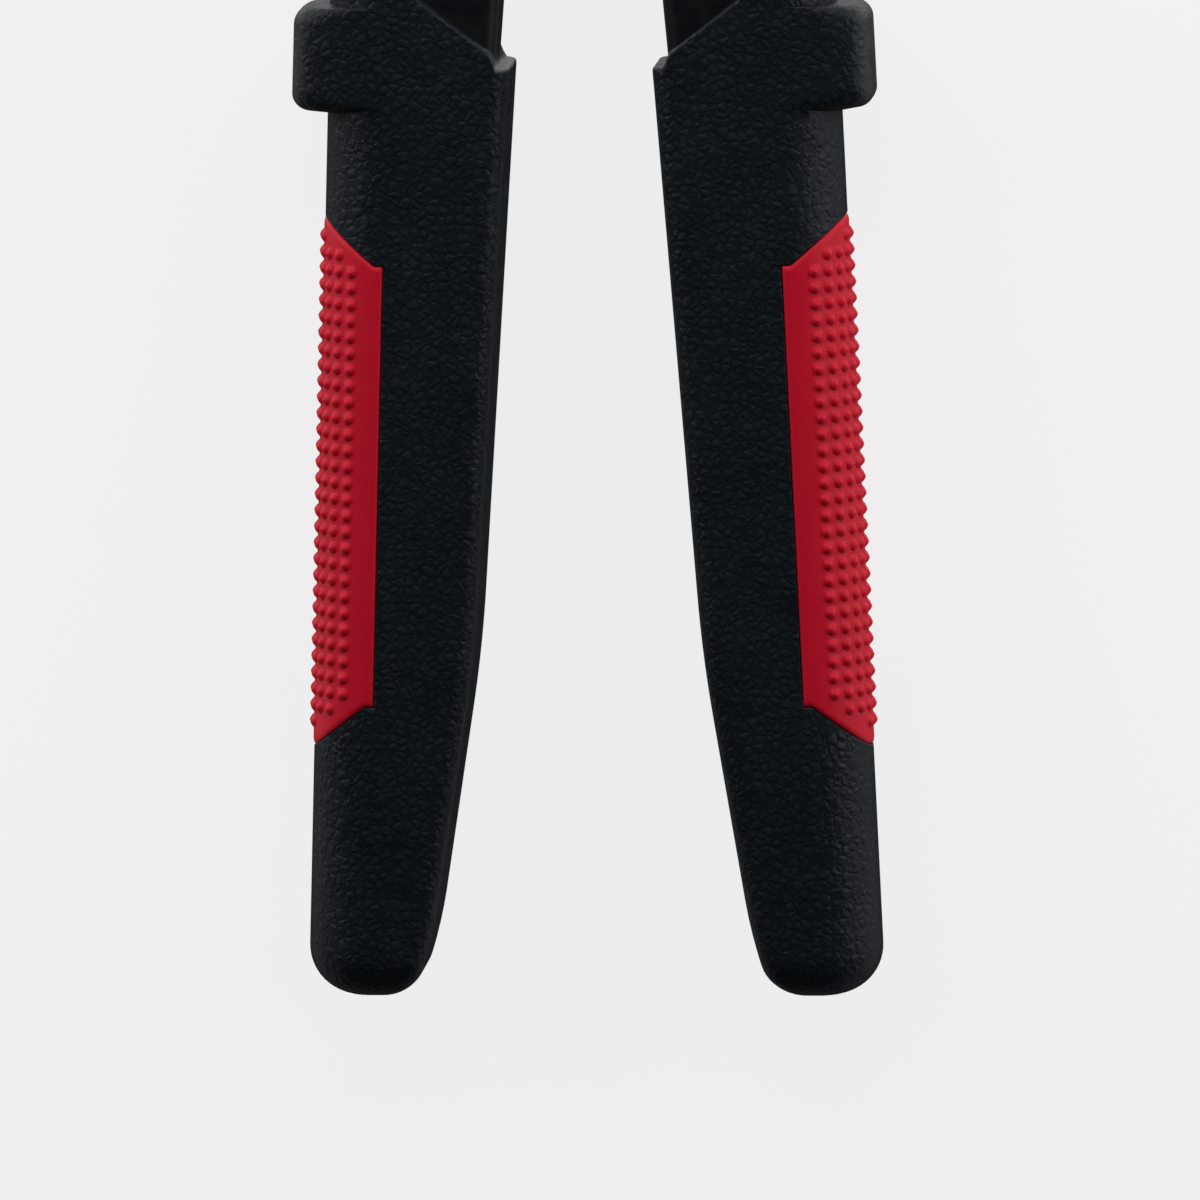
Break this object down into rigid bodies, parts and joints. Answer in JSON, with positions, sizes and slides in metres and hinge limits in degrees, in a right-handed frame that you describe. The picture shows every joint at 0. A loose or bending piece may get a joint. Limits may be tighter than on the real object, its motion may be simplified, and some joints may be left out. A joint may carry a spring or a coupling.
{
  "type": "hoof nipper",
  "caption": "Hoof nipper with crossed steel arms on a bolted lap joint, broad curved cutting jaws, and black moulded grips with finger guards and studded red inlays.",
  "frame": {"origin": "under the middle of the closed tool, level with its lowest edge", "axes": "+Y along the tool from grips to jaws, +Z along the pivot axis, +X to the right seen from above with the jaws ahead"},
  "size_m": [0.0872, 0.3, 0.03],
  "materials": {
    "black_steel": "black forged steel, satin, ground bright at the cutting edges",
    "black_moulding": "black moulded plastic with a fine leather grain",
    "red_moulding": "soft red moulding, satin, studded",
    "bright_steel": "plated steel, satin"
  },
  "bodies": {
    "left_side": {"left_arm": "black_steel", "left_grip": "black_moulding", "left_grip_inlay": "red_moulding", "pivot_bolt": "bright_steel", "pivot_nut": "bright_steel", "top_washer": "bright_steel", "bottom_washer": "bright_steel"},
    "right_side": {"right_arm": "black_steel", "right_grip": "black_moulding", "right_grip_inlay": "red_moulding"}
  },
  "joints": [
    {"name": "pivot", "type": "hinge", "parent": "left_side", "child": "right_side", "pos_m": [0, 0.099, 0.015], "axis": [0, 0, 1], "range_deg": [0, 45]}
  ]
}
